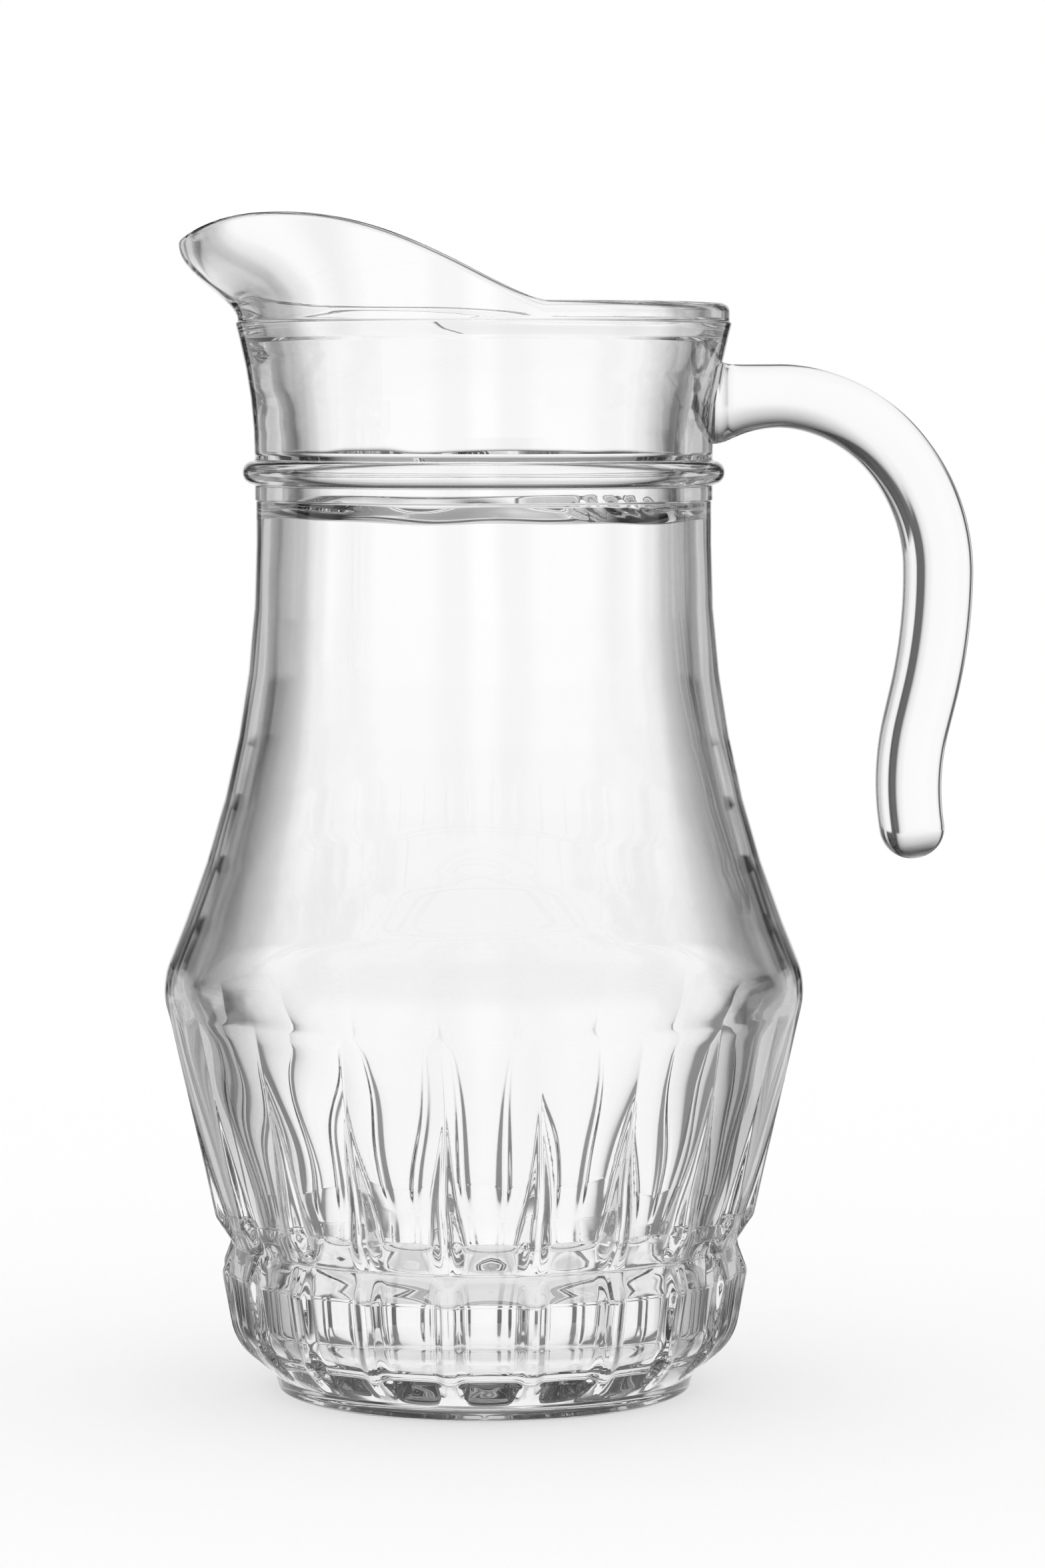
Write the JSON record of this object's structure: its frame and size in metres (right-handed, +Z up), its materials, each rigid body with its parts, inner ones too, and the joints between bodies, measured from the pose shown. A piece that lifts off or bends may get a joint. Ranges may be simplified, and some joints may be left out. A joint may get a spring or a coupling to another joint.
{
  "type": "pitcher",
  "caption": "Clear glass pitcher with a fluted belly, beaded collar, drawn spout and a solid handle fused to the neck, for serving cold drinks.",
  "frame": {"origin": "on the jug's axis, in the plane of the foot's standing ring", "axes": "+Z up along the jug's axis, +X towards the handle, -X towards the spout"},
  "size_m": [0.1683, 0.1334, 0.2442],
  "materials": {
    "body_glass": "clear pressed and fire-polished soda-lime glass",
    "handle_glass": "clear drawn soda-lime glass, fire polished"
  },
  "bodies": {
    "root": {"jug_body": "body_glass", "handle": "handle_glass"}
  },
  "joints": []
}
